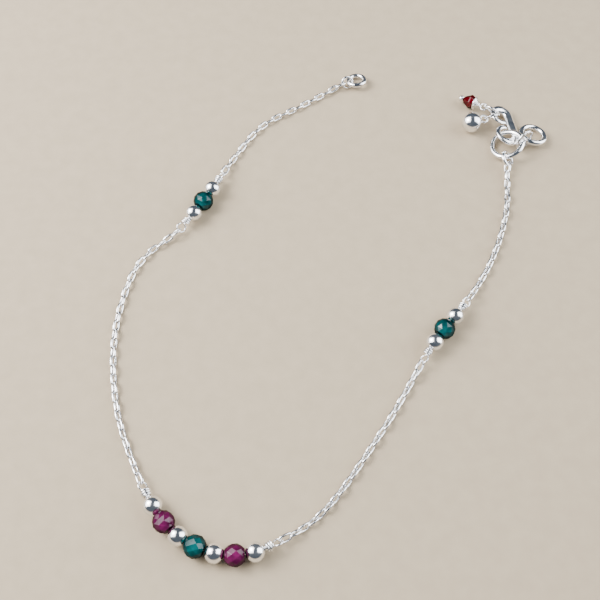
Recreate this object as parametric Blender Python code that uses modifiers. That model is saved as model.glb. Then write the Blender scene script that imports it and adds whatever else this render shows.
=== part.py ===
# Payal anklet that lies open on a surface: four stretches of cable chain joined by three
# wired groups of beads, a plain ring at one end and a hook clasp with two charms at the other

import math

import bmesh
import bpy
from mathutils import Matrix, Vector

MM = 0.001

# Beads
SILVER_BEAD_DIAMETER = 3.55 * MM
GREEN_CRYSTAL_DIAMETER = 4.2 * MM
PINK_CRYSTAL_DIAMETER = 4.0 * MM
CRYSTAL_THICKNESS = 3.5 * MM
BEAD_GAP = 0.06 * MM
BORE_CLEARANCE = 0.2 * MM
BEAD_SIDES = 10
BEAD_BANDS = 4

# Bead wire with a wrapped loop at each end
BEAD_WIRE = 0.38 * MM
BEAD_LOOP_RADIUS = 0.95 * MM
WRAP_TURNS = 2
WRAP_LEAD = 0.37 * MM
WRAP_AIR = 0.05 * MM
WRAP_STEPS = 6
LOOP_STEPS = 8

# Cable chain, whose links lie rolled to one side and the other in turn
CHAIN_WIRE = 0.42 * MM
CHAIN_LINK_LENGTH = 2.66 * MM
CHAIN_LINK_WIDTH = 1.5 * MM
CHAIN_LINK_OVERLAP = 0.08 * MM
CHAIN_ROLL = math.radians(45)
END_LINK_WIRE = 0.45 * MM
END_LINK_LENGTH = 2.8 * MM
END_LINK_WIDTH = 2.0 * MM
LINK_SEGMENTS = 10
LINK_SIDES = 5

# Stretches of chain: name, links between the two end links, and the beads that follow
STRETCHES = [
    ("chain_ring_to_left", 18, ("silver", "green", "silver")),
    ("chain_left_to_centre", 29, ("silver", "pink", "silver", "green", "silver", "pink", "silver")),
    ("chain_centre_to_right", 21, ("silver", "green", "silver")),
    ("chain_right_to_clasp", 17, ()),
]
GROUP_NAMES = ("left", "centre", "right")

# Rings at the two ends
LINK_CLEARANCE = 0.12 * MM
END_RING_RADIUS = 1.9 * MM
END_RING_WIRE = 1.1 * MM
END_RING_ROLL = math.radians(15)
END_RING_LINK_WIRE = 0.5 * MM
END_RING_LINK_SLACK = 0.02 * MM
END_RING_LINK_ROLL = math.radians(-50)
JUMP_RING_RADIUS = 1.6 * MM
JUMP_RING_WIRE = 0.8 * MM
JUMP_RING_ROLL = math.radians(45)
CLASP_RING_RADIUS = 3.3 * MM
CLASP_RING_WIRE = 1.2 * MM
CLASP_RING_ROLL = math.radians(-22)
LARGE_RING_RADIUS = 2.65 * MM
LARGE_RING_WIRE = 1.3 * MM
LARGE_LINK_WIRE = 0.7 * MM
LARGE_LINK_SLACK = 0.35 * MM
LARGE_LINK_ANGLE = 80
LARGE_LINK_HEADING = 55
LARGE_RING_HEADING = 40
LARGE_LINK_SLOPE = math.radians(-35)
LARGE_LINK_ROLL = math.radians(82)
RING_SIDES = 6
RING_SEGMENTS = 12
SMALL_LINK_SEGMENTS = 10

# Hook clasp, a flattened band with a curl at each end, with angles in degrees
HOOK_EYE_START = 92
HOOK_CURL_END = 300
HOOK_EYE_RADIUS = 2.15 * MM
HOOK_CURL_RADIUS = 1.95 * MM
HOOK_CURL_SIDE = 1.2 * MM
HOOK_CURL_REACH = 5.3 * MM
HOOK_BAND_WIDTH = 2.5 * MM
HOOK_CURL_SHARE = 0.55
HOOK_FLATNESS = 0.65
HOOK_SLACK = 0.5 * MM
HOOK_EYE_STEPS = 8
HOOK_CURL_STEPS = 10
HOOK_ROLL = math.radians(19)
HOOK_TIP_HEIGHT = 1.25 * MM

# Charms on the hook
RED_CHARM_ANGLE = 154
BALL_CHARM_ANGLE = 204
CHARM_LINK_ROLL = math.radians(62)
CHARM_LOOP_ROLL = math.radians(-18)
CHARM_LINK_WIRE = 0.5 * MM
CHARM_LINK_SLACK = 0.3 * MM
CHARM_BALL_DIAMETER = 4.5 * MM
CHARM_BALL_LOOP_RADIUS = 0.8 * MM
CHARM_BALL_LOOP_WIRE = 0.5 * MM
RED_CRYSTAL_DIAMETER = 3.2 * MM
RED_CRYSTAL_LENGTH = 3.0 * MM
HEAD_PIN_WIRE = 0.38 * MM
HEAD_PIN_LOOP_RADIUS = 0.75 * MM
HEAD_PIN_BALL_DIAMETER = 1.1 * MM
HEAD_PIN_TURNS = 1

# Chosen points of the strand on the surface it lies on, from the end ring to the clasp
ROUTE = [
    (13.0, 56.8), (9.0, 55.2), (0.0, 49.4), (-8.3, 43.9), (-13.9, 35.9), (-18.6, 25.9),
    (-24.6, 16.4), (-31.0, 10.8), (-34.6, 4.0), (-36.4, -9.0), (-34.4, -23.7), (-29.2, -36.6),
    (-23.8, -45.2), (-17.6, -49.6), (-10.6, -50.8), (-4.0, -48.6), (5.0, -42.1), (15.8, -27.1),
    (25.5, -11.2), (33.2, -1.2), (39.4, 9.0), (43.6, 20.5), (45.0, 31.5), (45.7, 40.0),
]
ROUTE_UNIT = 1.0 * MM
ROUTE_STEPS = 24
SETTLE_LENGTH = 5.0 * MM
LOOP_HEIGHT_SHARE = 0.8
TURN_BACK = 330


def holding_radius(wire, first, second, slack):
    return (first + second + wire) / 2 + 1.5 * LINK_CLEARANCE + slack


# Small links are wide enough for the two wires that each of them holds
END_RING_LINK_RADIUS = holding_radius(END_RING_LINK_WIRE, END_RING_WIRE, END_LINK_WIRE,
                                      END_RING_LINK_SLACK)
LARGE_LINK_RADIUS = holding_radius(LARGE_LINK_WIRE, CLASP_RING_WIRE, LARGE_RING_WIRE,
                                   LARGE_LINK_SLACK)
CHARM_LINK_RADIUS = holding_radius(CHARM_LINK_WIRE, HOOK_BAND_WIDTH * HOOK_CURL_SHARE,
                                   max(CHARM_BALL_LOOP_WIRE, HEAD_PIN_WIRE), CHARM_LINK_SLACK)

SILVER = (0.86, 0.87, 0.89, 1.0)
GREEN = (0.0, 0.16, 0.13, 1.0)
PINK = (0.45, 0.03, 0.2, 1.0)
RED = (0.4, 0.0, 0.02, 1.0)


# Scene and materials

def clear_scene():
    for item in list(bpy.data.objects):
        bpy.data.objects.remove(item, do_unlink=True)


def make_collection(name):
    collection = bpy.data.collections.new(name)
    bpy.context.scene.collection.children.link(collection)
    return collection


def make_material(name, color, roughness, metallic, transmission=0.0):
    material = bpy.data.materials.new(name)
    material.use_nodes = True
    shader = material.node_tree.nodes["Principled BSDF"]
    shader.inputs["Base Color"].default_value = color
    shader.inputs["Roughness"].default_value = roughness
    shader.inputs["Metallic"].default_value = metallic
    shader.inputs["Transmission Weight"].default_value = transmission
    material.diffuse_color = color
    return material


def silver(name):
    return make_material(name + "_silver", SILVER, 0.12, 1.0)


def add_object(name, data, collection, material=None, matrix=None):
    item = bpy.data.objects.new(name, data)
    collection.objects.link(item)
    if material:
        data.materials.append(material)
    if matrix:
        item.matrix_world = matrix
    return item


def add_cutter(name, data, matrix=None):
    item = add_object(name, data, cutters, None, matrix)
    item.hide_render = True
    item.display_type = "WIRE"
    return item


def join_solid(item, other):
    union = item.modifiers.new("Join " + other.name, "BOOLEAN")
    union.operation = "UNION"
    union.solver = "EXACT"
    union.object = other


# Route: points and frames by the distance along the strand

def smooth_route():
    points = [Vector((x, y)) * ROUTE_UNIT for x, y in ROUTE]
    points.insert(0, points[0] * 2 - points[1])
    points.append(points[-1] * 2 - points[-2])
    samples = []
    for index in range(1, len(points) - 2):
        before, start, end, after = points[index - 1:index + 3]
        for step in range(ROUTE_STEPS):
            t = step / ROUTE_STEPS
            samples.append(0.5 * (2 * start + (end - before) * t
                                  + (2 * before - 5 * start + 4 * end - after) * t * t
                                  + (3 * start - before - 3 * end + after) * t * t * t))
    samples.append(points[-2])
    lengths = [0.0]
    for first, second in zip(samples, samples[1:]):
        lengths.append(lengths[-1] + (second - first).length)
    return samples, lengths


def ground_point(distance):
    samples, lengths = route
    if distance <= 0:
        return samples[0] + (samples[1] - samples[0]).normalized() * distance
    if distance >= lengths[-1]:
        return samples[-1] + (samples[-1] - samples[-2]).normalized() * (distance - lengths[-1])
    low, high = 0, len(lengths) - 1
    while high - low > 1:
        middle = (low + high) // 2
        if lengths[middle] <= distance:
            low = middle
        else:
            high = middle
    share = (distance - lengths[low]) / (lengths[high] - lengths[low])
    return samples[low].lerp(samples[high], share)


def height_at(distance):
    if distance <= heights[0][0]:
        return heights[0][1]
    for (start, low), (end, high) in zip(heights, heights[1:]):
        if distance <= end:
            t = (distance - start) / (end - start)
            return low + (high - low) * t * t * (3 - 2 * t)
    return heights[-1][1]


def axis_point(distance):
    ground = ground_point(distance)
    return Vector((ground.x, ground.y, height_at(distance)))


def frame_from(origin, forward, roll=0.0):
    forward = forward.normalized()
    side = Vector((0, 0, 1)).cross(forward).normalized()
    up = forward.cross(side)
    basis = Matrix((forward, side, up)).transposed().to_4x4()
    return Matrix.Translation(origin) @ basis @ Matrix.Rotation(roll, 4, "X")


def frame_at(distance, roll=0.0):
    reach = 0.3 * MM
    forward = axis_point(distance + reach) - axis_point(distance - reach)
    return frame_from(axis_point(distance), forward, roll)


def on_strand(distance, side, up, roll):
    return frame_at(distance, roll) @ Vector((0, side, up))


# Shapes

def ring_mesh(name, radius, wire, segments, sides, stretch=0.0):
    bpy.ops.mesh.primitive_torus_add(major_segments=segments, minor_segments=sides,
                                     major_radius=radius, minor_radius=wire / 2)
    made = bpy.context.object
    mesh = made.data
    mesh.name = name
    for vertex in mesh.vertices:
        vertex.co.x += math.copysign(stretch / 2, vertex.co.x)
    bpy.data.objects.remove(made)
    mesh.shade_smooth()
    return mesh


def ball_mesh(radius, bands):
    bpy.ops.mesh.primitive_uv_sphere_add(segments=BEAD_SIDES, ring_count=bands, radius=radius)
    made = bpy.context.object
    mesh = made.data
    bpy.data.objects.remove(made)
    mesh.shade_smooth()
    return mesh


def turned_object(name, profile, sides, material, matrix, smooth):
    mesh = bpy.data.meshes.new(name)
    shape = bmesh.new()
    corners = [shape.verts.new((radius, 0, height)) for radius, height in profile]
    for first, second in zip(corners, corners[1:] + corners[:1]):
        shape.edges.new((first, second))
    shape.to_mesh(mesh)
    shape.free()
    along_strand = Matrix.Rotation(math.pi / 2, 4, "Y")
    flat_down = Matrix.Rotation(math.pi / sides, 4, "Z")
    item = add_object(name, mesh, parts, material, matrix @ along_strand @ flat_down)
    screw = item.modifiers.new("Turn", "SCREW")
    screw.steps = sides
    screw.render_steps = sides
    screw.use_merge_vertices = True
    screw.merge_threshold = 0.001 * MM
    screw.use_smooth_shade = smooth
    return item


def wire_object(name, points, thickness, material, radii=None, sides_level=1):
    curve = bpy.data.curves.new(name, "CURVE")
    curve.dimensions = "3D"
    curve.bevel_depth = thickness / 2
    curve.bevel_resolution = sides_level
    curve.use_fill_caps = True
    spline = curve.splines.new("POLY")
    spline.points.add(len(points) - 1)
    for index, point in enumerate(points):
        spline.points[index].co = (*point, 1)
        if radii:
            spline.points[index].radius = radii[index]
    return add_object(name, curve, parts, material)


def as_mesh_object(item):
    bpy.context.view_layer.update()
    depsgraph = bpy.context.evaluated_depsgraph_get()
    mesh = bpy.data.meshes.new_from_object(item.evaluated_get(depsgraph))
    shape = bmesh.new()
    shape.from_mesh(mesh)
    bmesh.ops.remove_doubles(shape, verts=shape.verts, dist=0.001 * MM)
    bmesh.ops.recalc_face_normals(shape, faces=shape.faces)
    shape.to_mesh(mesh)
    shape.free()
    name = item.name
    matrix = item.matrix_world.copy()
    bpy.data.objects.remove(item)
    mesh.name = name
    return add_object(name, mesh, parts, None, matrix)


# Lengths that place one piece after another

def ring_reach(radius, wire):
    return radius - wire / 2


def link_reach(length, wire):
    return length / 2 - wire


def loop_to_bead():
    turns = WRAP_TURNS * (BEAD_WIRE + WRAP_AIR)
    return BEAD_LOOP_RADIUS + WRAP_LEAD + turns + BEAD_WIRE / 2 + BEAD_GAP


def bead_width(kind):
    return SILVER_BEAD_DIAMETER if kind == "silver" else CRYSTAL_THICKNESS


def lay_out_strand():
    place = {}
    keys = []
    end_reach = link_reach(END_LINK_LENGTH, END_LINK_WIRE)
    chain_reach = link_reach(CHAIN_LINK_LENGTH, CHAIN_WIRE)
    loop_reach = ring_reach(BEAD_LOOP_RADIUS, BEAD_WIRE)
    chain_height = lying_height(CHAIN_LINK_WIDTH, CHAIN_WIRE)
    bead_height = GREEN_CRYSTAL_DIAMETER / 2 * math.cos(math.pi / BEAD_SIDES)
    loop_height = LOOP_HEIGHT_SHARE * bead_height

    ring_height = END_RING_RADIUS * math.sin(abs(END_RING_ROLL)) + END_RING_WIRE / 2
    link_height = (END_RING_LINK_RADIUS * math.sin(abs(END_RING_LINK_ROLL))
                   + END_RING_LINK_WIRE / 2)
    position = 0.0
    place["end_ring"] = position
    keys.append((position, ring_height))
    link_inner = ring_reach(END_RING_LINK_RADIUS, END_RING_LINK_WIRE)
    position += ring_reach(END_RING_RADIUS, END_RING_WIRE) + link_inner - LINK_CLEARANCE
    place["end_ring_link"] = position
    keys.append((position, link_height))
    position += link_inner + end_reach - LINK_CLEARANCE

    for name, count, group in STRETCHES:
        first = position
        links = [(position, True)]
        position += end_reach + chain_reach + CHAIN_LINK_OVERLAP
        for index in range(count):
            links.append((position, False))
            position += 2 * chain_reach + CHAIN_LINK_OVERLAP
        position += end_reach - chain_reach
        links.append((position, True))
        place[name] = links
        keys.append((first + SETTLE_LENGTH, chain_height))
        keys.append((position - SETTLE_LENGTH, chain_height))
        if not group:
            continue
        position += end_reach + loop_reach - LINK_CLEARANCE
        loop_start = position
        position += loop_to_bead()
        keys.append((loop_start, loop_height))
        keys.append((position, bead_height))
        beads = []
        for kind in group:
            position += bead_width(kind) / 2
            beads.append((kind, position))
            position += bead_width(kind) / 2 + BEAD_GAP
        position -= BEAD_GAP
        keys.append((position, bead_height))
        position += loop_to_bead()
        keys.append((position, loop_height))
        place[name + "_group"] = (loop_start, position, beads)
        position += loop_reach + end_reach - LINK_CLEARANCE

    jump_inner = ring_reach(JUMP_RING_RADIUS, JUMP_RING_WIRE)
    jump_height = JUMP_RING_RADIUS * math.sin(JUMP_RING_ROLL) + JUMP_RING_WIRE / 2
    ring_b_height = CLASP_RING_RADIUS * math.sin(-CLASP_RING_ROLL) + CLASP_RING_WIRE / 2
    position += end_reach + jump_inner - LINK_CLEARANCE
    place["jump_ring"] = position
    keys.append((position, jump_height))
    position += jump_inner + ring_reach(CLASP_RING_RADIUS, CLASP_RING_WIRE) - LINK_CLEARANCE
    place["clasp_ring"] = position
    keys.append((position, ring_b_height))
    position += CLASP_RING_RADIUS - HOOK_SLACK
    place["hook"] = position
    keys.append((position, ring_b_height))
    keys.append((position + HOOK_CURL_REACH, HOOK_TIP_HEIGHT))
    return place, keys


def first_sign(index):
    # The clasp's stretch ends on a link that lies across the jump ring
    is_last = index == len(STRETCHES) - 1
    return (-1) ** STRETCHES[index][1] if is_last else 1


def last_sign(index):
    return first_sign(index) * (-1) ** (STRETCHES[index][1] + 1)


def lying_height(width, wire):
    return (width - wire) / 2 * math.sin(CHAIN_ROLL) + wire / 2


# Sub-parts on the strand

def add_ring(name, radius, wire, matrix):
    mesh = ring_mesh(name, radius, wire, RING_SEGMENTS, RING_SIDES)
    return add_object(name, mesh, parts, silver(name), matrix)


def add_small_link(name, radius, wire, matrix):
    mesh = ring_mesh(name, radius, wire, SMALL_LINK_SEGMENTS, LINK_SIDES)
    return add_object(name, mesh, parts, silver(name), matrix)


def add_chain(name, links, first_sign):
    bodies = (bmesh.new(), bmesh.new())
    shapes = {
        True: ring_mesh("end link", (END_LINK_WIDTH - END_LINK_WIRE) / 2, END_LINK_WIRE,
                        LINK_SEGMENTS, LINK_SIDES, END_LINK_LENGTH - END_LINK_WIDTH),
        False: ring_mesh("chain link", (CHAIN_LINK_WIDTH - CHAIN_WIRE) / 2, CHAIN_WIRE,
                         LINK_SEGMENTS, LINK_SIDES, CHAIN_LINK_LENGTH - CHAIN_LINK_WIDTH),
    }
    for index, (distance, is_end) in enumerate(links):
        body = bodies[index % 2]
        roll = CHAIN_ROLL * first_sign * (-1) ** index
        count = len(body.verts)
        body.from_mesh(shapes[is_end])
        body.verts.ensure_lookup_table()
        bmesh.ops.transform(body, matrix=frame_at(distance, roll), verts=body.verts[count:])
    meshes = []
    for body, label in zip(bodies, ("odd", "even")):
        mesh = bpy.data.meshes.new(name + "_" + label)
        body.to_mesh(mesh)
        body.free()
        mesh.shade_smooth()
        meshes.append(mesh)
    chain = add_object(name, meshes[0], parts, silver(name))
    join_solid(chain, add_cutter(name + "_even_links", meshes[1]))


def wrapped_end(loop_centre, direction, roll, wire, loop_radius, turns, lead, at):
    # From the neck round the loop, then back round the neck towards the bead
    points = []
    for step in range(LOOP_STEPS + 1):
        angle = math.radians(180 - TURN_BACK * step / LOOP_STEPS)
        along = loop_centre + direction * loop_radius * math.cos(angle)
        points.append(at(along, loop_radius * math.sin(angle), 0.0, roll))
    coil_radius = wire + WRAP_AIR
    start = loop_centre - direction * (loop_radius + lead)
    for step in range(turns * WRAP_STEPS + 1):
        turn = step / WRAP_STEPS
        angle = -math.pi / 2 - 2 * math.pi * turn
        along = start - direction * turn * (wire + WRAP_AIR)
        points.append(at(along, coil_radius * math.sin(angle), coil_radius * math.cos(angle), roll))
    return points


def add_bead_wire(name, group, first_roll, last_roll):
    start, end, beads = group
    steps = dict(wire=BEAD_WIRE, loop_radius=BEAD_LOOP_RADIUS, turns=WRAP_TURNS, lead=WRAP_LEAD,
                 at=on_strand)
    points = wrapped_end(start, -1, first_roll, **steps)[::-1]
    points += [axis_point(start + loop_to_bead() - BEAD_WIRE)]
    points += [axis_point(place) for kind, place in beads]
    points += [axis_point(end - loop_to_bead() + BEAD_WIRE)]
    points += wrapped_end(end, 1, last_roll, **steps)
    wire_object(name, points, BEAD_WIRE, silver(name))


def add_silver_bead(name, distance):
    radius = SILVER_BEAD_DIAMETER / 2
    bore = BEAD_WIRE / 2 + BORE_CLEARANCE
    first = math.asin(bore / radius)
    profile = []
    for band in range(BEAD_BANDS + 1):
        angle = first + (math.pi - 2 * first) * band / BEAD_BANDS
        profile.append((radius * math.sin(angle), radius * math.cos(angle)))
    turned_object(name, profile, BEAD_SIDES, silver(name), frame_at(distance), True)


def add_crystal(name, distance, diameter, color):
    radius = diameter / 2
    half = CRYSTAL_THICKNESS / 2
    bore = BEAD_WIRE / 2 + BORE_CLEARANCE
    outer = [(0.55, 1.0), (1.0, 0.3)]
    profile = [(bore, half)]
    profile += [(radius * out, half * up) for out, up in outer]
    profile += [(radius * out, -half * up) for out, up in reversed(outer)]
    profile += [(bore, -half)]
    material = make_material(name + "_glass", color, 0.03, 0.0, 0.6)
    turned_object(name, profile, BEAD_SIDES, material, frame_at(distance), False)


def add_bead(prefix, number, kind, distance):
    name = prefix + "_" + kind + "_bead_" + str(number)
    if kind == "silver":
        add_silver_bead(name, distance)
    elif kind == "green":
        add_crystal(name, distance, GREEN_CRYSTAL_DIAMETER, GREEN)
    else:
        add_crystal(name, distance, PINK_CRYSTAL_DIAMETER, PINK)


# Clasp: a hook on the clasp ring, a large ring beside it and two charms on the hook

def hook_path():
    points = []
    for step in range(HOOK_EYE_STEPS + 1):
        angle = math.radians(HOOK_EYE_START + (360 - HOOK_EYE_START) * step / HOOK_EYE_STEPS)
        points.append((HOOK_EYE_RADIUS * math.sin(angle), -HOOK_EYE_RADIUS * math.cos(angle)))
    for step in range(HOOK_CURL_STEPS + 1):
        points.append(on_curl(HOOK_CURL_END * step / HOOK_CURL_STEPS))
    return points


def on_curl(degrees):
    angle = math.radians(degrees)
    forward = HOOK_CURL_REACH + HOOK_CURL_RADIUS * math.sin(angle)
    side = HOOK_CURL_SIDE - HOOK_CURL_RADIUS * math.cos(angle)
    return forward, side


def hook_width(t):
    shares = [(0.0, 0.38), (0.2, 0.45), (0.4, 0.8), (0.47, 0.75), (0.55, 0.95), (0.65, 0.85),
              (0.73, HOOK_CURL_SHARE), (0.85, HOOK_CURL_SHARE), (1.0, 0.42)]
    for (start, low), (end, high) in zip(shares, shares[1:]):
        if t <= end:
            return low + (high - low) * (t - start) / (end - start)
    return shares[-1][1]


def add_hook(base):
    path = hook_path()
    widths = [hook_width(index / (len(path) - 1)) for index in range(len(path))]
    points = [Vector((forward, side, 0)) for forward, side in path]
    hook = wire_object("hook_clasp", points, HOOK_BAND_WIDTH, silver("hook_clasp"), widths, 2)
    hook.matrix_world = base @ Matrix.Diagonal((1, 1, HOOK_FLATNESS, 1))


def aim(heading, slope):
    flat = Vector((heading.x, heading.y, 0)).normalized() * math.cos(slope)
    return flat + Vector((0, 0, math.sin(slope)))


def slope_down(start_height, end_height, distance):
    return -math.asin(max(-0.9, min(0.9, (start_height - end_height) / distance)))


def to_the_right(degrees):
    angle = math.radians(degrees)
    return Vector((math.cos(angle), -math.sin(angle), 0))


def slanted(wire, heading):
    # Half a wire, as the link that turns away from its ring's heading meets it
    return wire / 2 / math.cos(math.radians(heading - LARGE_LINK_HEADING))


def add_large_ring(clasp_frame):
    held = clasp_frame @ (to_the_right(LARGE_LINK_ANGLE) * CLASP_RING_RADIUS)
    forward = aim(clasp_frame.to_3x3() @ to_the_right(LARGE_LINK_HEADING), LARGE_LINK_SLOPE)
    room = ring_reach(LARGE_LINK_RADIUS, LARGE_LINK_WIRE) - LINK_CLEARANCE
    centre = held + forward * (room - slanted(CLASP_RING_WIRE, LARGE_LINK_ANGLE))
    add_small_link("large_ring_link", LARGE_LINK_RADIUS, LARGE_LINK_WIRE,
                   frame_from(centre, forward, LARGE_LINK_ROLL))
    near = centre + forward * (room - slanted(LARGE_RING_WIRE, LARGE_RING_HEADING))
    slope = slope_down(near.z, LARGE_RING_WIRE / 2, 2 * LARGE_RING_RADIUS)
    away = aim(clasp_frame.to_3x3() @ to_the_right(LARGE_RING_HEADING), slope)
    add_ring("large_ring", LARGE_RING_RADIUS, LARGE_RING_WIRE,
             frame_from(near + away * LARGE_RING_RADIUS, away))


def add_charm_link(name, hook_frame, degrees):
    forward, side = on_curl(degrees)
    held = hook_frame @ Vector((forward, side, 0))
    centre = hook_frame @ Vector((HOOK_CURL_REACH, HOOK_CURL_SIDE, 0))
    outward = aim(held - centre, 0)
    band = HOOK_BAND_WIDTH / 2 * HOOK_CURL_SHARE
    step = ring_reach(CHARM_LINK_RADIUS, CHARM_LINK_WIRE) - band - LINK_CLEARANCE
    place = held + outward * step
    add_small_link(name, CHARM_LINK_RADIUS, CHARM_LINK_WIRE,
                   frame_from(place, outward, CHARM_LINK_ROLL))
    return place, outward


def add_charm_ball(link_centre, outward):
    radius = CHARM_BALL_DIAMETER / 2
    loop_step = (ring_reach(CHARM_LINK_RADIUS, CHARM_LINK_WIRE)
                 + ring_reach(CHARM_BALL_LOOP_RADIUS, CHARM_BALL_LOOP_WIRE) - LINK_CLEARANCE)
    ball_step = CHARM_BALL_LOOP_RADIUS + radius - CHARM_BALL_LOOP_WIRE * 0.3
    slope = slope_down(link_centre.z, radius, loop_step + ball_step)
    forward = aim(outward, slope)
    loop_frame = frame_from(link_centre + forward * loop_step, forward, CHARM_LOOP_ROLL)
    loop = ring_mesh("ball loop", CHARM_BALL_LOOP_RADIUS, CHARM_BALL_LOOP_WIRE,
                     SMALL_LINK_SEGMENTS, LINK_SIDES)
    mesh = ball_mesh(radius, 6)
    along_axis = Matrix.Rotation(math.pi / 2, 4, "Y")
    ball_frame = loop_frame @ Matrix.Translation((ball_step, 0, 0)) @ along_axis
    ball = add_object("charm_ball", mesh, parts, silver("charm_ball"), ball_frame)
    join_solid(ball, add_cutter("charm_ball_loop", loop, loop_frame))


def add_red_charm(link_centre, outward):
    radius = RED_CRYSTAL_DIAMETER / 2
    loop_step = (ring_reach(CHARM_LINK_RADIUS, CHARM_LINK_WIRE)
                 + ring_reach(HEAD_PIN_LOOP_RADIUS, HEAD_PIN_WIRE) - LINK_CLEARANCE)
    wraps = HEAD_PIN_TURNS * (HEAD_PIN_WIRE + WRAP_AIR)
    crystal_step = (HEAD_PIN_LOOP_RADIUS + WRAP_LEAD + wraps + HEAD_PIN_WIRE / 2 + BEAD_GAP
                    + RED_CRYSTAL_LENGTH / 2)
    resting = radius * math.cos(math.pi / BEAD_SIDES)
    forward = aim(outward, slope_down(link_centre.z, resting, loop_step + crystal_step))
    pin_frame = frame_from(link_centre + forward * loop_step, forward)

    def at(along, side, up, roll):
        return pin_frame @ Matrix.Rotation(roll, 4, "X") @ Vector((along, side, up))

    head_step = crystal_step + RED_CRYSTAL_LENGTH / 2 + BEAD_GAP + HEAD_PIN_BALL_DIAMETER / 2
    points = wrapped_end(0.0, -1, CHARM_LOOP_ROLL, HEAD_PIN_WIRE, HEAD_PIN_LOOP_RADIUS,
                         HEAD_PIN_TURNS, WRAP_LEAD, at)[::-1]
    points.append(at(head_step, 0, 0, 0))
    pin = as_mesh_object(wire_object("head_pin", points, HEAD_PIN_WIRE, silver("head_pin")))
    mesh = ball_mesh(HEAD_PIN_BALL_DIAMETER / 2, 5)
    join_solid(pin, add_cutter("head_pin_ball", mesh, Matrix.Translation(at(head_step, 0, 0, 0))))

    half = RED_CRYSTAL_LENGTH / 2
    bore = HEAD_PIN_WIRE / 2 + BORE_CLEARANCE
    profile = [(bore, half), (radius * 0.5, half), (radius, half * 0.12),
               (radius, -half * 0.12), (radius * 0.5, -half), (bore, -half)]
    material = make_material("charm_red_crystal_glass", RED, 0.03, 0.0, 0.6)
    crystal_frame = pin_frame @ Matrix.Translation((crystal_step, 0, 0))
    turned_object("charm_red_crystal", profile, BEAD_SIDES, material, crystal_frame, False)


def stand_on_origin():
    bpy.context.view_layer.update()
    depsgraph = bpy.context.evaluated_depsgraph_get()
    low = Vector((1.0, 1.0, 1.0))
    high = -low
    for item in parts.objects:
        shown = item.evaluated_get(depsgraph)
        mesh = shown.to_mesh()
        for vertex in mesh.vertices:
            point = item.matrix_world @ vertex.co
            low = Vector(map(min, low, point))
            high = Vector(map(max, high, point))
        shown.to_mesh_clear()
    base = Vector(((low.x + high.x) / 2, (low.y + high.y) / 2, low.z))
    for item in list(parts.objects) + list(cutters.objects):
        item.matrix_world = Matrix.Translation(-base) @ item.matrix_world


# The strand is laid out first, then each piece is made at its place

clear_scene()
parts = make_collection("payal_anklet")
cutters = make_collection("cutters")

route = smooth_route()
places, heights = lay_out_strand()

add_ring("end_ring", END_RING_RADIUS, END_RING_WIRE, frame_at(places["end_ring"], END_RING_ROLL))
add_small_link("end_ring_link", END_RING_LINK_RADIUS, END_RING_LINK_WIRE,
               frame_at(places["end_ring_link"], END_RING_LINK_ROLL))
for index, (name, count, kinds) in enumerate(STRETCHES):
    add_chain(name, places[name], first_sign(index))
for index, group_name in enumerate(GROUP_NAMES):
    group = places[STRETCHES[index][0] + "_group"]
    add_bead_wire(group_name + "_bead_wire", group, -last_sign(index) * CHAIN_ROLL,
                  -first_sign(index + 1) * CHAIN_ROLL)
    for number, (kind, distance) in enumerate(group[2], 1):
        add_bead(group_name, number, kind, distance)

add_ring("jump_ring", JUMP_RING_RADIUS, JUMP_RING_WIRE, frame_at(places["jump_ring"], JUMP_RING_ROLL))
clasp_frame = frame_at(places["clasp_ring"], CLASP_RING_ROLL)
add_ring("clasp_ring", CLASP_RING_RADIUS, CLASP_RING_WIRE, clasp_frame)
add_large_ring(clasp_frame)

hook_forward = axis_point(places["hook"] + HOOK_CURL_REACH) - axis_point(places["hook"])
hook_frame = frame_from(axis_point(places["hook"]), hook_forward, HOOK_ROLL)
add_hook(hook_frame)
add_red_charm(*add_charm_link("charm_link_red", hook_frame, RED_CHARM_ANGLE))
add_charm_ball(*add_charm_link("charm_link_ball", hook_frame, BALL_CHARM_ANGLE))
stand_on_origin()
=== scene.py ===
# Payal anklet lying open on a pale floor: cable chain, wound wire, silver beads, cut crystal

import math

import bmesh
import bpy
from mathutils import Matrix, Vector


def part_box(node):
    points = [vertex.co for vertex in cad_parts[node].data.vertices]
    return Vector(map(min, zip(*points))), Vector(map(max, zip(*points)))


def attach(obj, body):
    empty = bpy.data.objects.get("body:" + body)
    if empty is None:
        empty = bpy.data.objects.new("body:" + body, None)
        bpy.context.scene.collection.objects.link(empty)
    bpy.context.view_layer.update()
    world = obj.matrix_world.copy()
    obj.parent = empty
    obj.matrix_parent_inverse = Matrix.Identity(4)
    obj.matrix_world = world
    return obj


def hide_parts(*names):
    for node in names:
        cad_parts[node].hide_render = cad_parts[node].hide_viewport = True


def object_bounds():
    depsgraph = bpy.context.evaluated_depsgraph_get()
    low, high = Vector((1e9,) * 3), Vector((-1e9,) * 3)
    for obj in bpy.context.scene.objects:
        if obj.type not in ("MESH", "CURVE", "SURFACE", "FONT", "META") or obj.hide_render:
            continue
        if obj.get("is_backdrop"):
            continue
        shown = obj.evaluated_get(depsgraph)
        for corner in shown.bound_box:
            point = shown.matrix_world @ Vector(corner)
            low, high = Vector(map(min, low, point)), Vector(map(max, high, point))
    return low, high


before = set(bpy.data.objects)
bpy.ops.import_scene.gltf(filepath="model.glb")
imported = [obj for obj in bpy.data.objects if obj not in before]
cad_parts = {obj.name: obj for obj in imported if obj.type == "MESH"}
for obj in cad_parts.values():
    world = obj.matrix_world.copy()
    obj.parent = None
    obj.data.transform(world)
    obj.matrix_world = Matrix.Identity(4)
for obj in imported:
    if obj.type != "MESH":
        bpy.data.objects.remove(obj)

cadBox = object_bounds()
mm = 0.001
weld = 0.0005 * mm  # corners nearer than this are merged

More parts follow.
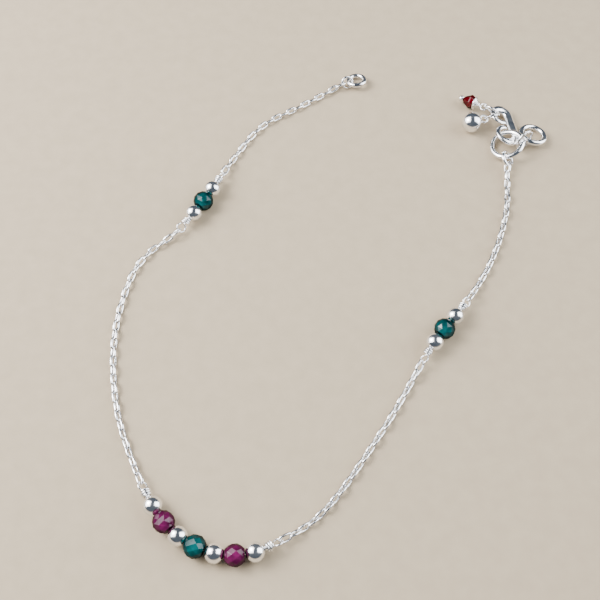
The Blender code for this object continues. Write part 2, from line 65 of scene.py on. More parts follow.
# Lengths of the strand, the same as in the solids
strand = {
    "route": [
        (13.0, 56.8), (9.0, 55.2), (0.0, 49.4), (-8.3, 43.9), (-13.9, 35.9), (-18.6, 25.9),
        (-24.6, 16.4), (-31.0, 10.8), (-34.6, 4.0), (-36.4, -9.0), (-34.4, -23.7), (-29.2, -36.6),
        (-23.8, -45.2), (-17.6, -49.6), (-10.6, -50.8), (-4.0, -48.6), (5.0, -42.1), (15.8, -27.1),
        (25.5, -11.2), (33.2, -1.2), (39.4, 9.0), (43.6, 20.5), (45.0, 31.5), (45.7, 40.0),
    ],
    "routeSteps": 24,
    "stretches": [
        ("chain_ring_to_left", 18, "left", ("silver", "green", "silver")),
        ("chain_left_to_centre", 29, "centre",
         ("silver", "pink", "silver", "green", "silver", "pink", "silver")),
        ("chain_centre_to_right", 21, "right", ("silver", "green", "silver")),
        ("chain_right_to_clasp", 17, "", ()),
    ],
    "chainRoll": math.radians(45),
    "chainReach": 0.91 * mm,
    "chainOverlap": 0.08 * mm,
    "chainHeight": 0.592 * mm,
    "endReach": 0.95 * mm,
    "clearance": 0.12 * mm,
    "beadGap": 0.06 * mm,
    "silverBead": 3.55 * mm,
    "crystalThickness": 3.5 * mm,
    "greenCrystal": 4.2 * mm,
    "pinkCrystal": 4.0 * mm,
    "crystalSides": 10,
    "loopToBead": 2.43 * mm,
    "loopShare": 0.8,  # height of a bead wire's loop, as a share of the beads' height
    "settle": 5.0 * mm,
    "aim": 0.3 * mm,  # how far to each side the strand's direction is read
}
beadWire = {"wire": 0.38 * mm, "loop": 0.95 * mm, "loopSteps": 26, "turns": 3, "turnSteps": 16,
            "air": 0.01 * mm, "lead": 0.07 * mm, "straight": 0.4 * mm, "sides": 4, "outerTurns": 3}
endRing = {"radius": 1.9 * mm, "wire": 1.1 * mm, "roll": math.radians(15)}
endRingLink = {"radius": 1.225 * mm, "wire": 0.5 * mm, "roll": math.radians(-50)}
jumpRing = {"radius": 1.6 * mm, "wire": 0.8 * mm, "roll": math.radians(45)}
claspRing = {"radius": 3.3 * mm, "wire": 1.2 * mm, "roll": math.radians(-22)}
largeRing = {"radius": 2.65 * mm, "wire": 1.3 * mm, "heading": 40}
largeLink = {"radius": 2.13 * mm, "wire": 0.7 * mm, "angle": 80, "heading": 55,
             "slope": math.radians(-35), "roll": math.radians(82)}
charmLink = {"radius": 1.6675 * mm, "wire": 0.5 * mm, "roll": math.radians(62)}
hook = {"eye": 2.15 * mm, "curl": 1.95 * mm, "curlSide": 1.2 * mm, "reach": 5.3 * mm,
        "width": 2.5 * mm, "flatness": 0.65, "slack": 0.5 * mm, "roll": math.radians(19),
        "tip": 1.25 * mm, "curlShare": 0.55, "eyeStart": 92, "eyeTurn": 268, "curlTurn": 300}
ballCharm = {"angle": 204, "ball": 4.5 * mm, "loop": 0.8 * mm, "wire": 0.5 * mm}
redCharm = {"angle": 154, "crystal": 3.2 * mm, "length": 3.0 * mm, "wire": 0.38 * mm,
            "loop": 0.75 * mm, "head": 1.4 * mm, "lead": 0.37 * mm, "turn": 0.43 * mm}
charmLoopRoll = math.radians(-18)


# Camera and light first

def pointAt(item, target):
    item.rotation_euler = (Vector(target) - item.location).to_track_quat("-Z", "Y").to_euler()


def softLight(name, place, size, power, color):
    light = bpy.data.lights.new(name, "AREA")
    light.shape = "RECTANGLE"
    light.size, light.size_y = size
    light.energy = power
    light.color = color
    item = bpy.data.objects.new(name, light)
    bpy.context.collection.objects.link(item)
    item.location = place
    pointAt(item, (0, 0, 0))


def makeStudio():
    view = {"place": (0.0, -82.73 * mm, 155.6 * mm), "tilt": math.radians(28), "lens": 52.5,
            "nearest": 5.0 * mm}
    camera = bpy.data.objects.new("Camera", bpy.data.cameras.new("Camera"))
    bpy.context.collection.objects.link(camera)
    camera.location = Vector(view["place"]) + Vector((shift.x, shift.y, 0))
    camera.rotation_euler = (view["tilt"], 0, 0)
    camera.data.lens = view["lens"]
    camera.data.clip_start = view["nearest"]
    bpy.context.scene.camera = camera

    softLight("windowLeft", place=(-0.36, 0.07, 0.32), size=(0.52, 0.56), power=6.4,
              color=(1.0, 0.99, 0.98))
    softLight("windowRight", place=(0.40, 0.05, 0.26), size=(0.42, 0.56), power=5.0,
              color=(0.95, 0.98, 1.0))
    softLight("lampLeft", place=(-0.25, 0.05, 0.24), size=(0.13, 0.13), power=1.3,
              color=(1.0, 0.99, 0.97))

    world = bpy.data.worlds.new("studio")
    bpy.context.scene.world = world
    world.use_nodes = True
    sky = world.node_tree.nodes["Background"]
    sky.inputs["Color"].default_value = (0.30, 0.36, 0.44, 1.0)
    sky.inputs["Strength"].default_value = 0.33

    floorReach = 0.9
    shape = bmesh.new()
    bmesh.ops.create_grid(shape, x_segments=1, y_segments=1, size=floorReach)
    floor = meshPiece("floor", shape, floorFinish(), smooth=False)
    floor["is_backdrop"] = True


# Finishes

def addNode(tree, kind, **values):
    made = tree.nodes.new(kind)
    for name, value in values.items():
        made.inputs[name].default_value = value
    return made


def noiseAt(tree, size, detail=3.0, stretch=(1, 1, 1), turn=(0, 0, 0)):
    place = tree.nodes.new("ShaderNodeTexCoord")
    mapping = addNode(tree, "ShaderNodeMapping", Scale=stretch, Rotation=turn)
    noise = addNode(tree, "ShaderNodeTexNoise", Scale=1 / size, Detail=detail)
    tree.links.new(place.outputs["Object"], mapping.inputs["Vector"])
    tree.links.new(mapping.outputs["Vector"], noise.inputs["Vector"])
    return noise.outputs["Fac"]


def rampOf(tree, value, stops):
    ramp = tree.nodes.new("ShaderNodeValToRGB")
    ramp.color_ramp.elements[0].position, ramp.color_ramp.elements[0].color = stops[0]
    ramp.color_ramp.elements[1].position, ramp.color_ramp.elements[1].color = stops[-1]
    for position, color in stops[1:-1]:
        ramp.color_ramp.elements.new(position).color = color
    tree.links.new(value, ramp.inputs["Fac"])
    return ramp.outputs["Color"]


def spreadOf(tree, value, low, high, start=0.35, end=0.65):
    spread = tree.nodes.new("ShaderNodeMapRange")
    spread.inputs["From Min"].default_value = start
    spread.inputs["From Max"].default_value = end
    spread.inputs["To Min"].default_value = low
    spread.inputs["To Max"].default_value = high
    tree.links.new(value, spread.inputs["Value"])
    return spread.outputs["Result"]


def newFinish(name):
    material = bpy.data.materials.new(name)
    material.use_nodes = True
    return material, material.node_tree, material.node_tree.nodes["Principled BSDF"]


def silverFinish(name, smooth, worn, patch, scratch):
    # Tarnish in soft patches, roughness that follows handling, and fine rubbed scratches
    bright, dull = (0.95, 0.95, 0.96, 1), (0.74, 0.75, 0.78, 1)
    material, tree, shader = newFinish(name)
    shader.inputs["Metallic"].default_value = 1.0
    patches = noiseAt(tree, patch, 4.0)
    tarnish = rampOf(tree, patches, [(0.34, dull), (0.5, bright)])
    tree.links.new(tarnish, shader.inputs["Base Color"])
    wear = noiseAt(tree, patch * 0.35, 5.0)
    tree.links.new(spreadOf(tree, wear, smooth, worn), shader.inputs["Roughness"])
    lines = noiseAt(tree, 0.05 * mm, 2.0, (1, 9, 1), (0.4, 0.3, 0.7))
    bump = addNode(tree, "ShaderNodeBump", Strength=scratch, Distance=0.004 * mm)
    tree.links.new(lines, bump.inputs["Height"])
    tree.links.new(bump.outputs["Normal"], shader.inputs["Normal"])
    return material


def crystalFinish(name, rim, deep, light):
    # Tinted glass of varying depth, with painted shade that darkens its colour towards the edges
    # where facets turn from view, and slightly rubbed facets
    material, tree, shader = newFinish(name)
    shader.inputs["Transmission Weight"].default_value = 0.05
    shader.inputs["IOR"].default_value = 1.5
    shader.inputs["Specular IOR Level"].default_value = 0.16
    depth = rampOf(tree, noiseAt(tree, 1.6 * mm, 2.0), [(0.3, deep), (0.7, light)])
    # Painted shade: the rim colour is mixed into the base colour as a facet turns away from view
    facing = addNode(tree, "ShaderNodeLayerWeight", Blend=0.72)
    edges = tree.nodes.new("ShaderNodeMix")
    edges.data_type = "RGBA"
    edges.inputs["B"].default_value = rim
    tree.links.new(facing.outputs["Facing"], edges.inputs["Factor"])
    tree.links.new(depth, edges.inputs["A"])
    tree.links.new(edges.outputs["Result"], shader.inputs["Base Color"])
    # Full gloss on a facet that faces the eye, little at the rim
    gloss = spreadOf(tree, facing.outputs["Facing"], 0.42, 0.02, 0.15, 0.75)
    tree.links.new(gloss, shader.inputs["Specular IOR Level"])
    rub = noiseAt(tree, 0.25 * mm, 4.0)
    tree.links.new(spreadOf(tree, rub, 0.0, 0.05), shader.inputs["Roughness"])
    return material


def floorFinish():
    material, tree, shader = newFinish("paleFloor")
    shades = [(0.2, (0.41, 0.33, 0.23, 1)), (0.8, (0.46, 0.37, 0.26, 1))]
    grain = rampOf(tree, noiseAt(tree, 3.0 * mm, 3.0), shades)
    tree.links.new(grain, shader.inputs["Base Color"])
    shader.inputs["Roughness"].default_value = 0.85
    return material


# Pieces

def meshPiece(name, shape, finish, smooth=True):
    bmesh.ops.remove_doubles(shape, verts=shape.verts, dist=weld)
    bmesh.ops.recalc_face_normals(shape, faces=shape.faces)
    for face in shape.faces:
        face.smooth = smooth
    mesh = bpy.data.meshes.new(name)
    shape.to_mesh(mesh)
    shape.free()
    mesh.materials.append(finish)
    item = bpy.data.objects.new(name, mesh)
    bpy.context.collection.objects.link(item)
    return item


def dressNode(piece, slot, *nodes):
    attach(piece, "root")
    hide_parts(*nodes)


def sweptWire(points, wire, sides, shares=None):
    curve = bpy.data.curves.new("sweep", "CURVE")
    curve.dimensions = "3D"
    curve.bevel_depth = wire / 2
    curve.bevel_resolution = sides
    curve.use_fill_caps = True
    spline = curve.splines.new("POLY")
    spline.points.add(len(points) - 1)
    for index, point in enumerate(points):
        spline.points[index].co = (*point, 1)
        spline.points[index].radius = shares[index] if shares else 1.0
    item = bpy.data.objects.new("sweep", curve)
    bpy.context.collection.objects.link(item)
    bpy.context.view_layer.update()
    ready = item.evaluated_get(bpy.context.evaluated_depsgraph_get())
    made = bpy.data.meshes.new_from_object(ready)
    bpy.data.objects.remove(item)
    shape = bmesh.new()
    shape.from_mesh(made)
    bpy.data.meshes.remove(made)
    bmesh.ops.remove_doubles(shape, verts=shape.verts, dist=weld)
    return shape


def ringShape(radius, wire, segments, sides, stretch=0.0, cut=0.0):
    # A round section spun about Z, closed, or with a narrow cut between two ends
    shape = bmesh.new()
    bmesh.ops.create_circle(shape, segments=sides, radius=wire / 2)
    upright = Matrix.Translation((radius, 0, 0)) @ Matrix.Rotation(math.pi / 2, 4, "X")
    bmesh.ops.transform(shape, matrix=upright, verts=shape.verts)
    if cut:
        bmesh.ops.rotate(shape, cent=(0, 0, 0), matrix=Matrix.Rotation(cut / radius / 2, 3, "Z"),
                         verts=shape.verts)
        turn = 2 * math.pi - cut / radius
        bmesh.ops.spin(shape, geom=shape.edges[:], axis=(0, 0, 1), cent=(0, 0, 0), angle=turn,
                       steps=segments)
        bmesh.ops.holes_fill(shape, edges=[edge for edge in shape.edges if edge.is_boundary])
    else:
        bmesh.ops.spin(shape, geom=shape.edges[:], axis=(0, 0, 1), cent=(0, 0, 0),
                       angle=2 * math.pi, steps=segments, use_merge=True)
        bmesh.ops.remove_doubles(shape, verts=shape.verts, dist=weld)
    for vertex in shape.verts:
        if abs(vertex.co.x) > 0.002 * mm:
            vertex.co.x += math.copysign(stretch / 2, vertex.co.x)
    return shape


def addShape(target, shape, matrix):
    mesh = bpy.data.meshes.new("passing")
    shape.to_mesh(mesh)
    shape.free()
    mesh.transform(matrix)
    target.from_mesh(mesh)
    bpy.data.meshes.remove(mesh)


# Places along the strand

def smoothRoute():
    points = [Vector((x, y)) * mm for x, y in strand["route"]]
    points.insert(0, points[0] * 2 - points[1])
    points.append(points[-1] * 2 - points[-2])
    samples = []
    for index in range(1, len(points) - 2):
        before, start, end, after = points[index - 1:index + 3]
        for step in range(strand["routeSteps"]):
            t = step / strand["routeSteps"]
            samples.append(0.5 * (2 * start + (end - before) * t
                                  + (2 * before - 5 * start + 4 * end - after) * t * t
                                  + (3 * start - before - 3 * end + after) * t * t * t))
    samples.append(points[-2])
    lengths = [0.0]
    for first, second in zip(samples, samples[1:]):
        lengths.append(lengths[-1] + (second - first).length)
    return samples, lengths


def groundPoint(distance):
    samples, lengths = route
    if distance <= 0:
        return samples[0] + (samples[1] - samples[0]).normalized() * distance
    if distance >= lengths[-1]:
        return samples[-1] + (samples[-1] - samples[-2]).normalized() * (distance - lengths[-1])
    low, high = 0, len(lengths) - 1
    while high - low > 1:
        middle = (low + high) // 2
        if lengths[middle] <= distance:
            low = middle
        else:
            high = middle
    share = (distance - lengths[low]) / (lengths[high] - lengths[low])
    return samples[low].lerp(samples[high], share)


def heightAt(distance):
    if distance <= heights[0][0]:
        return heights[0][1]
    for (start, low), (end, high) in zip(heights, heights[1:]):
        if distance <= end:
            t = (distance - start) / (end - start)
            return low + (high - low) * t * t * (3 - 2 * t)
    return heights[-1][1]


def axisPoint(distance):
    ground = groundPoint(distance)
    return Vector((ground.x, ground.y, heightAt(distance))) + shift


def frameFrom(origin, forward, roll=0.0):
    forward = forward.normalized()
    side = Vector((0, 0, 1)).cross(forward).normalized()
    basis = Matrix((forward, side, forward.cross(side))).transposed().to_4x4()
    return Matrix.Translation(origin) @ basis @ Matrix.Rotation(roll, 4, "X")


def frameAt(distance, roll=0.0):
    forward = axisPoint(distance + strand["aim"]) - axisPoint(distance - strand["aim"])
    return frameFrom(axisPoint(distance), forward, roll)


def onStrand(distance, side, up, roll):
    return frameAt(distance, roll) @ Vector((0, side, up))


def tiltedHeight(ring):
    return ring["radius"] * math.sin(abs(ring["roll"])) + ring["wire"] / 2


def innerReach(ring):
    return ring["radius"] - ring["wire"] / 2


def layOutStrand():
    places, keys = {}, []
    endReach, clearance = strand["endReach"], strand["clearance"]
    loopReach = beadWire["loop"] - beadWire["wire"] / 2
    beadHeight = strand["greenCrystal"] / 2 * math.cos(math.pi / strand["crystalSides"])
    position = 0.0
    places["end_ring"] = position
    keys.append((position, tiltedHeight(endRing)))
    position += innerReach(endRing) + innerReach(endRingLink) - clearance
    places["end_ring_link"] = position
    keys.append((position, tiltedHeight(endRingLink)))
    position += innerReach(endRingLink) + endReach - clearance
    for name, count, group, beads in strand["stretches"]:
        first = position
        links = [(position, True)]
        position += endReach + strand["chainReach"] + strand["chainOverlap"]
        for index in range(count):
            links.append((position, False))
            position += 2 * strand["chainReach"] + strand["chainOverlap"]
        position += endReach - strand["chainReach"]
        links.append((position, True))
        places[name] = links
        keys.append((first + strand["settle"], strand["chainHeight"]))
        keys.append((position - strand["settle"], strand["chainHeight"]))
        if not beads:
            continue
        position += endReach + loopReach - clearance
        loopStart = position
        position += strand["loopToBead"]
        keys += [(loopStart, strand["loopShare"] * beadHeight), (position, beadHeight)]
        centres = []
        for kind in beads:
            width = strand["silverBead"] if kind == "silver" else strand["crystalThickness"]
            centres.append((kind, position + width / 2))
            position += width + strand["beadGap"]
        position -= strand["beadGap"]
        keys.append((position, beadHeight))
        position += strand["loopToBead"]
        keys.append((position, strand["loopShare"] * beadHeight))
        places[group] = (loopStart, position, centres)
        position += loopReach + endReach - clearance
    position += endReach + innerReach(jumpRing) - clearance
    places["jump_ring"] = position
    keys.append((position, tiltedHeight(jumpRing)))
    position += innerReach(jumpRing) + innerReach(claspRing) - clearance
    places["clasp_ring"] = position
    keys.append((position, tiltedHeight(claspRing)))
    position += claspRing["radius"] - hook["slack"]
    places["hook"] = position
    keys += [(position, tiltedHeight(claspRing)), (position + hook["reach"], hook["tip"])]
    return places, keys


def firstSign(index):
    stretches = strand["stretches"]
    return (-1) ** stretches[index][1] if index == len(stretches) - 1 else 1


def lastSign(index):
    return firstSign(index) * (-1) ** (strand["stretches"][index][1] + 1)


def boxCentre(node):
    low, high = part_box(node)
    return (low + high) / 2


# Chain

def makeChains():
    link = {"length": 2.74 * mm, "width": 1.54 * mm, "wire": 0.57 * mm}
    endLink = {"length": 2.88 * mm, "width": 1.80 * mm, "wire": 0.54 * mm}
    for index, (name, count, group, beads) in enumerate(strand["stretches"]):
        chain = bmesh.new()
        for number, (distance, isEnd) in enumerate(places[name]):
            look = endLink if isEnd else link
            roll = strand["chainRoll"] * firstSign(index) * (-1) ** number
            shape = ringShape((look["width"] - look["wire"]) / 2, look["wire"], segments=16,
                              sides=8, stretch=look["length"] - look["width"])
            addShape(chain, shape, frameAt(distance, roll))
        piece = meshPiece(name + "_links", chain, finishes["chain"])
        dressNode(piece, "polished_silver", name)


# Bead wires with wound ends

def evened(points, rounds):
    for _ in range(rounds):
        inner = [(before + point * 2 + after) / 4
                 for before, point, after in zip(points, points[1:], points[2:])]
        points = [points[0]] + inner + [points[-1]]
    return points


def woundEnd(centre, direction, roll, look, at):
    points = []
    for step in range(look["loopSteps"] + 1):
        angle = math.radians(180 - 322 * step / look["loopSteps"])
        along = centre + direction * look["loop"] * math.cos(angle)
        points.append(at(along, look["loop"] * math.sin(angle), 0.0, roll))
    radius = look["wire"] + look["air"]
    start = centre - direction * (look["loop"] + look["wire"] / 2 + look["lead"])
    steps = look["turns"] * look["turnSteps"]
    for step in range(2, steps + 1):
        turn = step / look["turnSteps"]
        angle = -math.pi / 2 - 2 * math.pi * turn
        along = start - direction * turn * (look["wire"] + look["air"])
        points.append(at(along, radius * math.sin(angle), radius * math.cos(angle), roll))
    # A second, looser layer goes back over the first
    for step in range(4, look["outerTurns"] * look["turnSteps"] + 1):
        turn = step / look["turnSteps"]
        angle = -math.pi / 2 - 2 * math.pi * turn
        over = radius + look["wire"] * (0.9 + 0.75 * turn / look["outerTurns"])
        outer = along + direction * turn * (look["wire"] + look["air"])
        points.append(at(outer, over * math.sin(angle), over * math.cos(angle), roll))
    return evened(points, 2)


def makeBeadWires():
    for index, group in enumerate(("left", "centre", "right")):
        start, end, centres = places[group]
        firstRoll = -lastSign(index) * strand["chainRoll"]
        lastRoll = -firstSign(index + 1) * strand["chainRoll"]
        points = woundEnd(start, -1, firstRoll, beadWire, onStrand)[::-1]
        points += [axisPoint(start + beadWire["loop"] + beadWire["straight"])]
        points += [axisPoint(distance) for kind, distance in centres]
        points += [axisPoint(end - beadWire["loop"] - beadWire["straight"])]
        points += woundEnd(end, 1, lastRoll, beadWire, onStrand)
        shape = sweptWire(points, beadWire["wire"], beadWire["sides"])
        piece = meshPiece(group + "_wire", shape, finishes["wire"])
        dressNode(piece, "polished_silver", group + "_bead_wire")


# Beads

def silverBeadShape():
    look = {"radius": strand["silverBead"] / 2, "bore": 0.42 * mm, "lip": 0.07 * mm}
    shape = bmesh.new()
    bmesh.ops.create_uvsphere(shape, u_segments=32, v_segments=24, radius=look["radius"])
    cap = math.sqrt(look["radius"] ** 2 - look["bore"] ** 2)
    for side in (1, -1):
        geometry = shape.verts[:] + shape.edges[:] + shape.faces[:]
        bmesh.ops.bisect_plane(shape, geom=geometry, plane_co=(0, 0, side * cap),
                               plane_no=(0, 0, side), clear_outer=True)
        rim = [edge for edge in shape.edges if edge.is_boundary and edge.verts[0].co.z * side > 0]
        for inward, share in ((0.5, 0.93), (1.5, 0.88), (9.0, 0.88)):
            made = bmesh.ops.extrude_edge_only(shape, edges=rim)["geom"]
            verts = [item for item in made if isinstance(item, bmesh.types.BMVert)]
            rim = [item for item in made if isinstance(item, bmesh.types.BMEdge)
                   and item.is_boundary]
            size = look["bore"] * share
            for vertex in verts:
                flat = Vector((vertex.co.x, vertex.co.y)).normalized() * size
                vertex.co.x, vertex.co.y = flat
                vertex.co.z = side * (cap - look["lip"] * inward)
    ends = [edge for edge in shape.edges if edge.is_boundary]
    bmesh.ops.bridge_loops(shape, edges=ends)
    return shape


def crystalShape(radius, half, sides, bore, rows, edge):
    # Rows of corners wrapped in flat facets, a bore between the two tables, then softened edges
    shape = bmesh.new()
    for share, level, turned in rows:
        made = bmesh.ops.create_circle(shape, segments=sides, radius=radius * share)["verts"]
        turn = Matrix.Rotation(math.pi / sides if turned else 0.0, 4, "Z")
        matrix = Matrix.Translation((0, 0, half * level)) @ turn
        bmesh.ops.transform(shape, matrix=matrix, verts=made)
    bmesh.ops.delete(shape, geom=shape.edges[:], context="EDGES_FACES")
    bmesh.ops.convex_hull(shape, input=shape.verts)
    bmesh.ops.dissolve_limit(shape, angle_limit=math.radians(2), verts=shape.verts,
                             edges=shape.edges)
    facetEdges = shape.edges[:]
    tables = [face for face in shape.faces if abs(face.normal.z) > 0.999]
    reach = radius * rows[0][0] * math.cos(math.pi / sides)
    for table in tables:
        bmesh.ops.inset_region(shape, faces=[table], thickness=reach - bore)
    rims = [edge for table in tables for edge in table.edges]
    bmesh.ops.delete(shape, geom=tables, context="FACES_ONLY")
    bmesh.ops.bridge_loops(shape, edges=rims)
    bmesh.ops.bevel(shape, geom=facetEdges, offset=edge, offset_type="OFFSET", segments=1,
                    profile=0.5, affect="EDGES", material=-1)
    return shape


def alongStrand(matrix, turn=0.0):
    return matrix @ Matrix.Rotation(math.pi / 2, 4, "Y") @ Matrix.Rotation(turn, 4, "Z")


def makeBeads():
    rows = [(0.56, 1.0, True), (0.84, 0.67, False), (1.0, 0.24, True), (1.0, -0.24, False),
            (0.84, -0.67, True), (0.56, -1.0, False)]
    rondelle = {"half": strand["crystalThickness"] / 2, "sides": strand["crystalSides"],
                "bore": 0.36 * mm, "edge": 0.025 * mm, "rows": rows}
    radii = {"green": strand["greenCrystal"] / 2, "pink": strand["pinkCrystal"] / 2}
    spin = 0.6  # radians from each bead to the next, so that no two show the same facets
    for group in ("left", "centre", "right"):
        for number, (kind, distance) in enumerate(places[group][2], 1):
            node = group + "_" + kind + "_bead_" + str(number)
            matrix = alongStrand(frameAt(distance), spin * number)
            if kind == "silver":
                shape = silverBeadShape()
            else:
                shape = crystalShape(radii[kind], **rondelle)
            bmesh.ops.transform(shape, matrix=matrix, verts=shape.verts)
            smooth = kind == "silver"
            piece = meshPiece(node + "_polished", shape, finishes[kind], smooth)
            dressNode(piece, "polished_silver" if smooth else kind + "_crystal", node)


# Rings

def makeRing(name, ring, matrix, cut=0.0, turn=0.0):
    shape = ringShape(ring["radius"], ring["wire"], segments=48, sides=16, cut=cut)
    bmesh.ops.transform(shape, matrix=matrix @ Matrix.Rotation(turn, 4, "Z"), verts=shape.verts)
    piece = meshPiece(name + "_round", shape, finishes["ring"])
    dressNode(piece, "polished_silver", name)


def toTheRight(degrees):
    angle = math.radians(degrees)
    return Vector((math.cos(angle), -math.sin(angle), 0))


def aimed(heading, slope):
    flat = Vector((heading.x, heading.y, 0)).normalized() * math.cos(slope)
    return flat + Vector((0, 0, math.sin(slope)))


def slopeDown(startHeight, endHeight, distance):
    return -math.asin(max(-0.9, min(0.9, (startHeight - endHeight) / distance)))


def slanted(wire, heading):
    # Half a wire, as the link that turns away from its ring's heading meets it
    return wire / 2 / math.cos(math.radians(heading - largeLink["heading"]))


def makeRings():
    clearance = strand["clearance"]
    makeRing("end_ring", endRing, frameAt(places["end_ring"], endRing["roll"]))
    makeRing("end_ring_link", endRingLink, frameAt(places["end_ring_link"], endRingLink["roll"]),
             cut=0.05 * mm, turn=1.9)
    makeRing("jump_ring", jumpRing, frameAt(places["jump_ring"], jumpRing["roll"]),
             cut=0.06 * mm, turn=1.2)
    clasp = frameAt(places["clasp_ring"], claspRing["roll"])
    makeRing("clasp_ring", claspRing, clasp)
    held = clasp @ (toTheRight(largeLink["angle"]) * claspRing["radius"])
    forward = aimed(clasp.to_3x3() @ toTheRight(largeLink["heading"]), largeLink["slope"])
    room = innerReach(largeLink) - clearance
    centre = held + forward * (room - slanted(claspRing["wire"], largeLink["angle"]))
    makeRing("large_ring_link", largeLink, frameFrom(centre, forward, largeLink["roll"]),
             cut=0.06 * mm, turn=2.2)
    near = centre + forward * (room - slanted(largeRing["wire"], largeRing["heading"]))
    slope = slopeDown(near.z - shift.z, largeRing["wire"] / 2, 2 * largeRing["radius"])
    away = aimed(clasp.to_3x3() @ toTheRight(largeRing["heading"]), slope)
    makeRing("large_ring", largeRing, frameFrom(near + away * largeRing["radius"], away))


# Hook and charms

def onCurl(degrees):
    angle = math.radians(degrees)
    return Vector((hook["reach"] + hook["curl"] * math.sin(angle),
                   hook["curlSide"] - hook["curl"] * math.cos(angle), 0))


def hookWidth(t):
    narrow = hook["curlShare"]
    shares = [(0.0, 0.38), (0.2, 0.45), (0.4, 1.0), (0.47, 0.92), (0.55, 0.97), (0.65, 0.9),
              (0.73, narrow), (0.85, narrow), (1.0, 0.42)]
    for (start, low), (end, high) in zip(shares, shares[1:]):
        if t <= end:
            return low + (high - low) * (t - start) / (end - start)
    return shares[-1][1]


def makeHook(matrix):
    eyeSteps, between, curlSteps = 30, 8, 36
    points = []
    for step in range(eyeSteps):
        angle = math.radians(hook["eyeStart"] + hook["eyeTurn"] * step / eyeSteps)
        points.append(Vector((hook["eye"] * math.sin(angle), -hook["eye"] * math.cos(angle), 0)))
    first, last = Vector((0, -hook["eye"], 0)), onCurl(0)
    points += [first.lerp(last, step / between) for step in range(between)]
    points += [onCurl(hook["curlTurn"] * step / curlSteps) for step in range(curlSteps + 1)]
    # Width follows the share of steps of the solid's own path: 8 round the eye, 1 across, 10 curled
    eyeEnd, curlStart, whole = 8, 9, 19
    stations = [eyeEnd * step / eyeSteps for step in range(eyeSteps)]
    stations += [eyeEnd + step / between for step in range(between)]
    stations += [curlStart + (whole - curlStart) * step / curlSteps
                 for step in range(curlSteps + 1)]
    shares = evened([hookWidth(station / whole) for station in stations], 3)
    shape = sweptWire(evened(points, 3), hook["width"], 6, shares)
    flat = matrix @ Matrix.Diagonal((1, 1, hook["flatness"], 1))
    bmesh.ops.transform(shape, matrix=flat, verts=shape.verts)
    dressNode(meshPiece("hook_band", shape, finishes["hook"]), "polished_silver", "hook_clasp")


def makeCharmLink(name, matrix, degrees):
    held = matrix @ onCurl(degrees)
    centre = matrix @ Vector((hook["reach"], hook["curlSide"], 0))
    outward = aimed(held - centre, 0)
    band = hook["width"] / 2 * hook["curlShare"]
    place = held + outward * (innerReach(charmLink) - band - strand["clearance"])
    makeRing(name, charmLink, frameFrom(place, outward, charmLink["roll"]),
             cut=0.05 * mm, turn=0.9)
    return place, outward


def makeBallCharm(linkCentre, outward):
    collar = {"radius": 0.5 * mm, "wire": 0.34 * mm, "lift": 0.16 * mm}
    radius = ballCharm["ball"] / 2
    loopStep = (innerReach(charmLink) + ballCharm["loop"] - ballCharm["wire"] / 2
                - strand["clearance"])
    ballStep = ballCharm["loop"] + radius - ballCharm["wire"] * 0.3
    forward = aimed(outward, slopeDown(linkCentre.z - shift.z, radius, loopStep + ballStep))
    loopFrame = frameFrom(linkCentre + forward * loopStep, forward, charmLoopRoll)
    ball = bmesh.new()
    sphere = bmesh.new()
    bmesh.ops.create_uvsphere(sphere, u_segments=48, v_segments=28, radius=radius)
    addShape(ball, sphere, alongStrand(loopFrame @ Matrix.Translation((ballStep, 0, 0))))
    loop = ringShape(ballCharm["loop"], ballCharm["wire"], segments=32, sides=12)
    addShape(ball, loop, loopFrame)
    seat = loopFrame @ Matrix.Translation((ballCharm["loop"] + collar["lift"], 0, 0))
    addShape(ball, ringShape(collar["radius"], collar["wire"], segments=32, sides=10),
             alongStrand(seat))
    dressNode(meshPiece("ball_drop", ball, finishes["silver"]), "polished_silver", "charm_ball")


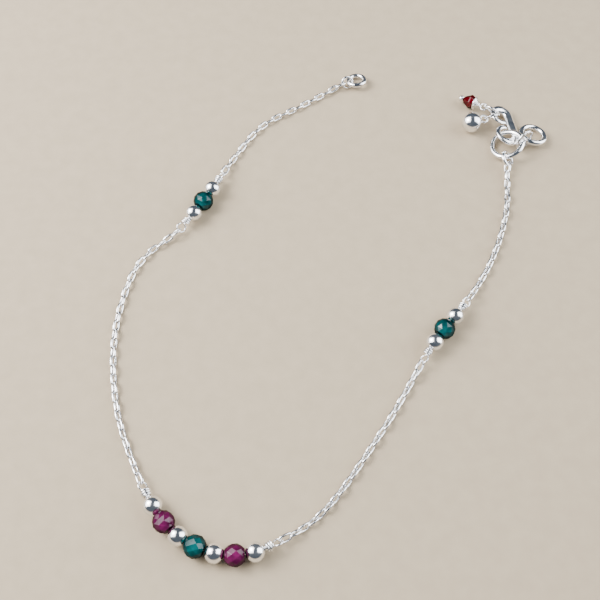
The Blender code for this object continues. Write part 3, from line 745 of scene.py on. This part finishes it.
def makeRedCharm(linkCentre, outward):
    cap = {"turns": 3, "first": 0.5 * mm, "last": 1.42 * mm, "start": -0.1 * mm,
           "rise": 0.6 * mm}
    cut = {"sides": 8, "bore": 0.34 * mm, "edge": 0.02 * mm, "spin": 0.3,
           "rows": [(0.5, 1.0, False), (1.0, 0.1, True), (1.0, -0.1, True), (0.5, -1.0, False)]}
    radius = redCharm["crystal"] / 2
    loopStep = (innerReach(charmLink) + redCharm["loop"] - redCharm["wire"] / 2
                - strand["clearance"])
    crystalStep = (redCharm["loop"] + redCharm["lead"] + redCharm["turn"] + redCharm["wire"] / 2
                   + strand["beadGap"] + redCharm["length"] / 2)
    resting = radius * math.cos(math.pi / strand["crystalSides"])
    forward = aimed(outward, slopeDown(linkCentre.z - shift.z, resting, loopStep + crystalStep))
    pinFrame = frameFrom(linkCentre + forward * loopStep, forward)

    def at(along, side, up, roll):
        return pinFrame @ Matrix.Rotation(roll, 4, "X") @ Vector((along, side, up))

    headStep = crystalStep + redCharm["length"] / 2 + strand["beadGap"] + redCharm["head"] / 2
    wound = dict(beadWire, loop=redCharm["loop"], turns=2, lead=0.0, outerTurns=0)
    points = woundEnd(0.0, -1, charmLoopRoll, wound, at)
    # The wire's end is wound on over the crystal's shoulder as a small cap
    steps = cap["turns"] * beadWire["turnSteps"]
    for step in range(steps + 1):
        share = step / steps
        angle = -math.pi / 2 - 2 * math.pi * cap["turns"] * share
        ring = cap["first"] + (cap["last"] - cap["first"]) * share
        along = crystalStep - redCharm["length"] / 2 + cap["start"] + cap["rise"] * share
        points.append(at(along, ring * math.sin(angle), ring * math.cos(angle), charmLoopRoll))
    points = points[::-1] + [at(crystalStep, 0, 0, 0), at(headStep, 0, 0, 0)]
    pin = sweptWire(points, redCharm["wire"], beadWire["sides"])
    head = bmesh.new()
    bmesh.ops.create_uvsphere(head, u_segments=24, v_segments=16, radius=redCharm["head"] / 2)
    addShape(pin, head, Matrix.Translation(at(headStep, 0, 0, 0)))
    dressNode(meshPiece("red_drop_pin", pin, finishes["wire"]), "polished_silver", "head_pin")
    shape = crystalShape(radius, redCharm["length"] / 2, cut["sides"], cut["bore"], cut["rows"],
                         cut["edge"])
    matrix = alongStrand(pinFrame @ Matrix.Translation((crystalStep, 0, 0)), cut["spin"])
    bmesh.ops.transform(shape, matrix=matrix, verts=shape.verts)
    piece = meshPiece("red_drop_crystal", shape, finishes["red"], False)
    dressNode(piece, "red_crystal", "charm_red_crystal")


# The scene, stage by stage

finishes = {
    "chain": silverFinish("brightChainSilver", smooth=0.12, worn=0.26, patch=1.4 * mm,
                          scratch=0.25),
    "wire": silverFinish("drawnSilverWire", smooth=0.10, worn=0.24, patch=1.2 * mm,
                         scratch=0.3),
    "ring": silverFinish("castRingSilver", smooth=0.08, worn=0.22, patch=2.0 * mm,
                         scratch=0.3),
    "hook": silverFinish("castHookSilver", smooth=0.10, worn=0.24, patch=2.0 * mm,
                         scratch=0.35),
    "silver": silverFinish("polishedBeadSilver", smooth=0.13, worn=0.22, patch=2.4 * mm,
                           scratch=0.15),
    # Each crystal's rim colour is painted shade for its edges; deep and light are its own varying
    # tone
    "green": crystalFinish("greenCrystal", rim=(0.0, 0.002, 0.002, 1),
                           deep=(0.0, 0.025, 0.028, 1), light=(0.0, 0.10, 0.105, 1)),
    "pink": crystalFinish("pinkCrystal", rim=(0.01, 0.0, 0.003, 1),
                          deep=(0.06, 0.003, 0.03, 1), light=(0.17, 0.01, 0.09, 1)),
    "red": crystalFinish("redCrystal", rim=(0.008, 0.0, 0.0, 1),
                         deep=(0.06, 0.0, 0.003, 1), light=(0.15, 0.001, 0.006, 1)),
}
shift = Vector((0, 0, 0))
route = smoothRoute()
places, heights = layOutStrand()
greenMiddle = places["centre"][2][3][1]
shift = boxCentre("centre_green_bead_4") - axisPoint(greenMiddle)
print("strand laid out, shift in mm", [round(value / mm, 4) for value in shift])
makeStudio()
print("camera, light and floor are set")

makeChains()
print("chains made")
makeBeadWires()
makeBeads()
print("bead groups made")
makeRings()
hookForward = axisPoint(places["hook"] + hook["reach"]) - axisPoint(places["hook"])
hookFrame = frameFrom(axisPoint(places["hook"]), hookForward, hook["roll"])
makeHook(hookFrame)
makeRedCharm(*makeCharmLink("charm_link_red", hookFrame, redCharm["angle"]))
makeBallCharm(*makeCharmLink("charm_link_ball", hookFrame, ballCharm["angle"]))
print("clasp and charms made")

boxes = {"cad": cadBox, "scene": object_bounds()}
{name: [list(corner) for corner in box] for name, box in boxes.items()}
